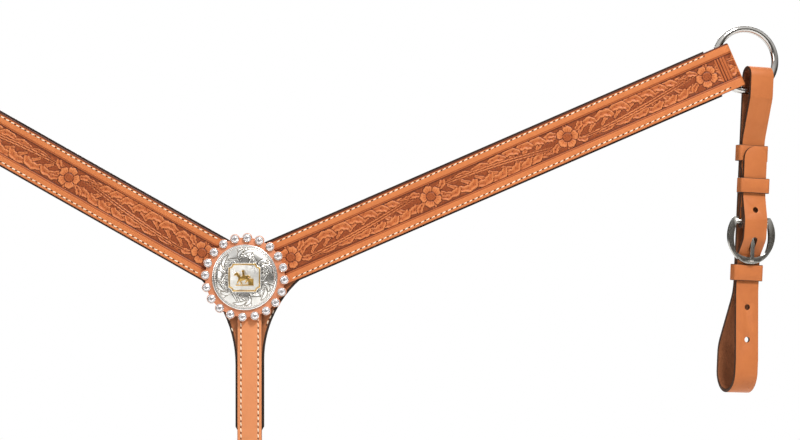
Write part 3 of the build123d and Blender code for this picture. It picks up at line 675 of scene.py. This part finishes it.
front, rear = Vector((0, -1, 0)), Vector((0, 1, 0))
arm_seam = face_half - 2.8  # each row's distance from the arm's middle
seam_start = 38.0
rear_seam_end = 436.0  # behind, the row stops at the folded end of the face
for side in ("right", "left"):
    along, across = arm_axes(side)
    rows = []
    for level, seam_end in ((arm_seam, 464.5), (-arm_seam, 474.0)):
        inner = along * seam_start + across * level
        outer = along * seam_end + across * level
        rows.append((inner + front * face_front, outer + front * face_front, front))
        shown = along * rear_seam_end + across * level
        rows.append((inner + front * lining_back, shown + front * lining_back, rear))
    sew(f"{side}_arm", rows, "collar")
drop_middle = 4.0
drop_seam = 7.8
drop_seam_top, drop_seam_low = -30.0, -322.0
rows = []
for across_x in (drop_middle - drop_seam, drop_middle + drop_seam):
    rows.append((
        Vector((across_x, -face_front, drop_seam_top)),
        Vector((across_x, -face_front, drop_seam_low)),
        front,
    ))
sew("drop", rows, "collar")
rows = []
for corners in (
    ((26.6, -29.0), (21.4, -38.5), (17.8, -46.5)),
    ((-17.6, -30.0), (-12.6, -45.0), (-10.2, -55.0)),
):
    for (x0, z0), (x1, z1) in zip(corners, corners[1:]):
        rows.append((Vector((x0, -lining_front, z0)), Vector((x1, -lining_front, z1)), front))
sew("wing", rows, "collar")

# Rosette: scalloped smooth leather under the concho, its edge rounded and left natural.
bm = cad_copy("rosette")
round_over(bm, 0.6 * mm, 2, 50)
rosette_leather = leather("rosette_leather", (0.57, 0.215, 0.108), (0.46, 0.16, 0.072), 0.5, 0.25)
new_piece("rosette_leaf", bm, "collar", [rosette_leather], ["rosette"])


# Metals: one node group gives fine scratches and a slight tarnish; each plating sets its own
# colour and polish.
def make_plate_group():
    """Node group: plating colour in, tarnished colour, roughness and normal out."""
    group = bpy.data.node_groups.new("plating", "ShaderNodeTree")
    face = group.interface
    for name in ("Bright", "Tarnish"):
        face.new_socket(name, in_out="INPUT", socket_type="NodeSocketColor")
    for name, default in (("Polish", 0.15), ("Scratch", 0.1)):
        socket = face.new_socket(name, in_out="INPUT", socket_type="NodeSocketFloat")
        socket.default_value = default
    face.new_socket("Color", in_out="OUTPUT", socket_type="NodeSocketColor")
    face.new_socket("Roughness", in_out="OUTPUT", socket_type="NodeSocketFloat")
    face.new_socket("Normal", in_out="OUTPUT", socket_type="NodeSocketVector")
    nodes, links = group.nodes, group.links
    source = nodes.new("NodeGroupInput")
    sink = nodes.new("NodeGroupOutput")
    place = nodes.new("ShaderNodeTexCoord")
    haze = nodes.new("ShaderNodeTexNoise")
    haze.inputs["Scale"].default_value = 160.0
    haze.inputs["Detail"].default_value = 5.0
    lines = nodes.new("ShaderNodeTexNoise")
    lines.inputs["Scale"].default_value = 900.0
    stretch = nodes.new("ShaderNodeMapping")
    stretch.inputs["Scale"].default_value = (1.0, 1.0, 0.12)
    limits = nodes.new("ShaderNodeMapRange")
    limits.inputs["From Min"].default_value = 0.5
    limits.inputs["From Max"].default_value = 0.8
    colour = nodes.new("ShaderNodeMix")
    colour.data_type = "RGBA"
    rough = nodes.new("ShaderNodeMath")
    rough.operation = "MULTIPLY_ADD"
    rough.inputs[1].default_value = 0.15
    bump = nodes.new("ShaderNodeBump")
    bump.inputs["Distance"].default_value = 0.00004
    links.new(place.outputs["Object"], haze.inputs["Vector"])
    links.new(place.outputs["Object"], stretch.inputs["Vector"])
    links.new(stretch.outputs["Vector"], lines.inputs["Vector"])
    links.new(haze.outputs["Fac"], limits.inputs["Value"])
    links.new(limits.outputs["Result"], colour.inputs["Factor"])
    links.new(source.outputs["Bright"], colour.inputs["A"])
    links.new(source.outputs["Tarnish"], colour.inputs["B"])
    links.new(colour.outputs["Result"], sink.inputs["Color"])
    links.new(haze.outputs["Fac"], rough.inputs[0])
    links.new(source.outputs["Polish"], rough.inputs[2])
    links.new(rough.outputs[0], sink.inputs["Roughness"])
    links.new(lines.outputs["Fac"], bump.inputs["Height"])
    links.new(source.outputs["Scratch"], bump.inputs["Strength"])
    links.new(bump.outputs["Normal"], sink.inputs["Normal"])
    return group


plating = make_plate_group()


def metal(name, bright, tarnish, polish, scratch):
    """A plated metal with its own colour and polish."""
    material = bpy.data.materials.new(name)
    material.use_nodes = True
    nodes, links = material.node_tree.nodes, material.node_tree.links
    shader = nodes["Principled BSDF"]
    plate = nodes.new("ShaderNodeGroup")
    plate.node_tree = plating
    plate.inputs["Bright"].default_value = (*bright, 1)
    plate.inputs["Tarnish"].default_value = (*tarnish, 1)
    plate.inputs["Polish"].default_value = polish
    plate.inputs["Scratch"].default_value = scratch
    links.new(plate.outputs["Color"], shader.inputs["Base Color"])
    links.new(plate.outputs["Roughness"], shader.inputs["Roughness"])
    links.new(plate.outputs["Normal"], shader.inputs["Normal"])
    shader.inputs["Metallic"].default_value = 1.0
    return material


chrome = metal("chrome", (0.58, 0.56, 0.53), (0.45, 0.43, 0.40), 0.05, 0.05)
brushed_nickel = metal("brushed_nickel", (0.52, 0.50, 0.46), (0.34, 0.32, 0.29), 0.15, 0.3)
silver = metal("silver", (0.90, 0.89, 0.86), (0.74, 0.72, 0.67), 0.14, 0.12)
gold = metal("gold", (0.83, 0.52, 0.15), (0.62, 0.36, 0.09), 0.16, 0.15)
steel = metal("steel", (0.50, 0.50, 0.50), (0.33, 0.33, 0.33), 0.3, 0.3)

# Crystal settings and crystals: silver cups riveted to the scallops, each with a round
# faceted stone with a flat table.
bm = cad_copy("crystal_settings")
round_over(bm, 0.2 * mm)
new_piece("crystal_cups", bm, "collar", [silver], ["crystal_settings"])



def foiled_crystal():
    """Clear cut stone on a foil: mirror bright, with a few faint pink glints painted into its
    colour.
    """
    material = bpy.data.materials.new("crystal")
    material.use_nodes = True
    nodes, links = material.node_tree.nodes, material.node_tree.links
    shader = nodes["Principled BSDF"]
    place = nodes.new("ShaderNodeTexCoord")
    # painted glints: random cells tint the base colour between white and a faint pink grey
    painted_glints = nodes.new("ShaderNodeTexVoronoi")
    painted_glints.inputs["Scale"].default_value = 900.0
    ramp = nodes.new("ShaderNodeValToRGB")
    ramp.color_ramp.elements[0].color = (1.0, 0.98, 0.99, 1)
    ramp.color_ramp.elements[1].color = (0.80, 0.74, 0.76, 1)
    links.new(place.outputs["Object"], painted_glints.inputs["Vector"])
    links.new(painted_glints.outputs["Color"], ramp.inputs["Fac"])
    links.new(ramp.outputs["Color"], shader.inputs["Base Color"])
    shader.inputs["Metallic"].default_value = 0.75
    shader.inputs["Roughness"].default_value = 0.04
    shader.inputs["Coat Weight"].default_value = 1.0
    shader.inputs["Coat Roughness"].default_value = 0.02
    return material


crystal = foiled_crystal()
crystal_count = 20
crystal_circle = 35.9
crystal_first = 86.6  # bearing of the first stone, degrees
stone_radius = 3.2
cup_depth = 12.7
bm = bmesh.new()
for number in range(crystal_count):
    bearing = math.radians(crystal_first + 360 / crystal_count * number)
    centre = Vector((
        crystal_circle * math.cos(bearing), -cup_depth, crystal_circle * math.sin(bearing)
    ))
    circle = bmesh.ops.create_circle(bm, cap_ends=True, segments=12, radius=stone_radius)
    stone = circle["verts"]
    table = next(f for f in bm.faces if stone[0] in f.verts)
    for radius, rise, turn in ((stone_radius, 0.9, 0.0), (2.5, 1.0, 0.26), (1.5, 0.7, 0.26)):
        ring = bmesh.ops.extrude_face_region(bm, geom=[table])["geom"]
        bmesh.ops.delete(bm, geom=[table], context="FACES_ONLY")
        table = next(g for g in ring if isinstance(g, bmesh.types.BMFace))
        middle = table.calc_center_median()
        reach = (table.verts[0].co - middle).length
        bmesh.ops.scale(
            bm, verts=table.verts, vec=(radius / reach, radius / reach, 1),
            space=Matrix.Translation(-middle),
        )
        bmesh.ops.rotate(
            bm, verts=table.verts, cent=middle, matrix=Matrix.Rotation(turn, 3, "Z")
        )
        bmesh.ops.translate(bm, verts=table.verts, vec=(0, 0, rise))
    island, fresh = set(), set(stone)
    while fresh:
        island |= fresh
        fresh = {e.other_vert(x) for x in fresh for e in x.link_edges} - island
    settle = Matrix.Translation(centre) @ Matrix.Rotation(math.radians(90), 4, "X")
    bmesh.ops.transform(bm, verts=list(island), matrix=settle)
bmesh.ops.scale(bm, verts=bm.verts, vec=(mm, mm, mm))
bmesh.ops.recalc_face_normals(bm, faces=bm.faces)
new_piece("crystal_stones", bm, "collar", [crystal], ["crystals"])

# Concho: spun silver shell with a turned rim; its shoulder is engraved with six sprays of
# scrolls cut in relief on a darkened ground, inside a ring of rope edging.
rim_radius = 29.75
flat_radius = 17.2
top_height = 17.9
belt_inner, belt_outer = 15.2, 26.6
rope_outer = 27.5
spray_count = 6


def engraved(radius, bearing):
    """Relief in mm and darkness of the engraving at a place on the concho."""
    belt = (radius > belt_inner) & (radius < belt_outer)
    height = np.where(belt, -0.10, 0.0)
    tone = np.where(belt, 0.32, 0.0)
    x, y = radius * np.cos(bearing), radius * np.sin(bearing)
    steps = 22
    for number in range(spray_count):
        for start, foot, lean, curl, length, width in (
            (0.00, 16.8, 0.30, 2.0, 17.0, 2.2), (0.20, 18.0, 0.35, 3.4, 15.0, 2.2),
            (0.42, 19.0, 0.20, 4.6, 14.0, 2.0), (0.10, 25.4, -0.20, -2.4, 13.0, 1.7),
            (0.52, 25.2, -0.45, -3.6, 11.0, 1.6), (0.74, 16.4, 0.05, 1.2, 11.0, 1.5),
        ):
            base = 2 * math.pi * number / spray_count + start
            t = np.linspace(0, 1, steps)
            heading = base + math.pi / 2 - lean - curl * t**1.7 * 0.5
            rib_x = foot * math.cos(base) + np.cumsum(np.cos(heading)) * length / steps
            rib_y = foot * math.sin(base) + np.cumsum(np.sin(heading)) * length / steps
            away = np.hypot(x[:, None] - rib_x, y[:, None] - rib_y)
            best = away.argmin(1)
            gap = away[np.arange(len(best)), best]
            half = width * np.sin(np.pi * np.clip(t[best], 0.06, 0.94)) ** 0.6
            part = gap / half
            inside = (part < 1) & belt
            flute = np.abs(np.sin(4 * part + 6 * t[best])) < 0.25
            height = np.where(inside, 0.06 - 0.10 * part**2 - 0.05 * flute, height)
            tone = np.where(inside, 0.04 + 0.35 * flute, tone)
            rim = (np.abs(gap - half) < 0.34) & belt
            height = np.where(rim, -0.2, height)
            tone = np.where(rim, 0.9, tone)
    edging = (radius > belt_outer) & (radius < rope_outer)
    rope = 0.18 * np.sin(90 * bearing + 2.2 * radius)
    height = np.where(edging, rope, height)
    tone = np.where(edging, 0.2 - rope, tone)
    return height, tone


def engraved_silver():
    """Bright silver whose engraved ground has been left dark."""
    material = metal("engraved_silver", (0.90, 0.89, 0.86), (0.76, 0.74, 0.69), 0.17, 0.12)
    nodes, links = material.node_tree.nodes, material.node_tree.links
    shader = nodes["Principled BSDF"]
    plate = next(n for n in nodes if n.type == "GROUP")
    depth = nodes.new("ShaderNodeAttribute")
    depth.attribute_name = "tone"
    ramp = nodes.new("ShaderNodeValToRGB")
    ramp.color_ramp.elements[0].position = 0.12
    ramp.color_ramp.elements[0].color = (1, 1, 1, 1)
    ramp.color_ramp.elements[1].position = 0.95
    ramp.color_ramp.elements[1].color = (0.20, 0.17, 0.13, 1)
    mix = nodes.new("ShaderNodeMix")
    mix.data_type = "RGBA"
    mix.blend_type = "MULTIPLY"
    mix.inputs["Factor"].default_value = 1.0
    links.new(depth.outputs["Fac"], ramp.inputs["Fac"])
    links.new(plate.outputs["Color"], mix.inputs["A"])
    links.new(ramp.outputs["Color"], mix.inputs["B"])
    links.new(mix.outputs["Result"], shader.inputs["Base Color"])
    return material


engraved_metal = engraved_silver()
rim_foot = 12.0
rim_top = 13.3
rim_profile = [
    (rim_radius, rim_foot), (rim_radius, 13.2), (29.6, 13.5), (29.2, 13.7), (28.6, 13.75),
    (28.1, 13.6), (27.7, rim_top),
]
shoulder_radii = np.linspace(27.55, flat_radius, 48)
sweep = ((shoulder_radii - flat_radius) / 10.4) ** 2
shoulder = list(zip(shoulder_radii, rim_top + (top_height - rim_top) * (1 - sweep) ** 0.5))
profile = rim_profile + shoulder + [(radius, top_height) for radius in (14.0, 9.0, 4.0)]
around = 720
mesh, turn_step, ring_step = flat_grid("concho_dome", around, len(profile) - 1)
bearing = 2 * math.pi * turn_step / around
radius, rise = np.array(profile)[ring_step].T
height, tone = engraved(radius, bearing)
points = np.stack([radius * np.cos(bearing), -(rise + height), radius * np.sin(bearing)], 1)
bm = shaped_grid(mesh, points, tone)
bmesh.ops.remove_doubles(bm, verts=bm.verts, dist=2e-6)
bmesh.ops.holes_fill(bm, edges=[e for e in bm.edges if e.is_boundary], sides=0)
bmesh.ops.recalc_face_normals(bm, faces=bm.faces)
for polygon in bm.faces:
    polygon.smooth = True
new_piece("concho_dome", bm, "collar", [engraved_metal], ["concho_shell"])

# Plaque: a stippled silver plate with notched corners, a raised gold frame and a gold rider on
# a horse turning round a barrel.
def stippled_silver():
    """Silver punched all over with small dots."""
    material = metal("stippled_silver", (0.84, 0.82, 0.78), (0.60, 0.57, 0.52), 0.22, 0.1)
    nodes, links = material.node_tree.nodes, material.node_tree.links
    place = nodes.new("ShaderNodeTexCoord")
    dots = nodes.new("ShaderNodeTexVoronoi")
    dots.inputs["Scale"].default_value = 1500.0
    bump = nodes.new("ShaderNodeBump")
    bump.inputs["Strength"].default_value = 0.8
    bump.inputs["Distance"].default_value = 0.0002
    links.new(place.outputs["Object"], dots.inputs["Vector"])
    links.new(dots.outputs["Distance"], bump.inputs["Height"])
    links.new(bump.outputs["Normal"], nodes["Principled BSDF"].inputs["Normal"])
    return material


stippled = stippled_silver()
bm = cad_copy("concho_plaque")
round_over(bm, 0.15 * mm)
new_piece("plaque_plate", bm, "collar", [stippled], ["concho_plaque"])
for node, radius in (("plaque_frame", 0.22), ("plaque_figure", 0.28)):
    bm = cad_copy(node)
    round_over(bm, radius * mm)
    new_piece(f"{node}_cast", bm, "collar", [gold], [node])

# Rings: welded chrome wire rings in the folded ends of the arms.
for side in ("right", "left"):
    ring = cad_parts[f"{side}_ring"]
    for place in ring.material_slots:
        place.material = chrome

# Tugs: one strap each, threaded through its ring, over the buckle's heel bar and back; the
# grain side shows outside the loops and the flesh side inside them. Keepers are short bands
# of the same leather with dark cut edges.
def mark_side(bm, seed, index):
    """Gives a strap's whole side, spread over its smooth bends from a seed face, one material."""
    side = {seed}
    fresh = [seed]
    while fresh:
        for edge in fresh.pop().edges:
            if len(edge.link_faces) == 2 and edge.calc_face_angle(0) < math.radians(40):
                found = [polygon for polygon in edge.link_faces if polygon not in side]
                side.update(found)
                fresh.extend(found)
    for polygon in side:
        polygon.material_index = index


tug_edge = leather("tug_edge", (0.075, 0.032, 0.016), (0.03, 0.014, 0.009), 0.8, 0.3, 500, 0.4)
tug_flesh = leather("tug_flesh", (0.25, 0.085, 0.032), (0.15, 0.05, 0.02), 0.7, 0.8, 300, 0.75)
for side in ("right", "left"):
    bm = cad_copy(f"{side}_tug")
    for polygon in bm.faces:
        polygon.material_index = 1
    low = min(bm.faces, key=lambda f: f.calc_center_median().z)
    high_inside = min(
        (f for f in bm.faces if f.normal.z > 0.9 and f.calc_area() > 8e-6),
        key=lambda f: f.calc_center_median().z,
    )
    mark_side(bm, low, 0)
    mark_side(bm, high_inside, 2)
    round_over(bm, 0.55 * mm, 2, 50, 1)
    new_piece(
        f"{side}_tug_strap", bm, f"{side}_tug",
        [smooth_leather, tug_edge, tug_flesh], [f"{side}_tug"],
    )
    for level in ("upper", "middle", "lower"):
        node = f"{side}_{level}_keeper"
        bm = cad_copy(node)
        for polygon in bm.faces:
            polygon.material_index = 1 if abs(polygon.normal.z) > 0.9 else 0
        round_over(bm, 0.5 * mm, 2, 50, 1)
        new_piece(f"{node}_loop", bm, node, [smooth_leather, tug_edge], [node])

# Buckles: cast horseshoe frames with a broad bevel, brushed and nickel plated, with a bent
# wire tongue coiled on the heel bar.
for side in ("right", "left"):
    for part, radius in (("buckle_frame", 1.1), ("buckle_tongue", 0.5)):
        node = f"{side}_{part}"
        bm = cad_copy(node)
        round_over(bm, radius * mm, 3, 45)
        new_piece(f"{node}_cast", bm, node, [brushed_nickel], [node])

# Bolt snap, screws and post: plain CAD shapes in nickel and steel.
for node, finish in (
    ("snap_eye", brushed_nickel), ("snap_body", brushed_nickel), ("snap_bolt", brushed_nickel),
    ("snap_spring", steel), ("fold_posts", steel), ("fold_screws", chrome), ("concho_post", steel),
    ("concho_washer", steel), ("concho_screw", steel),
):
    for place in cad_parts[node].material_slots:
        place.material = finish
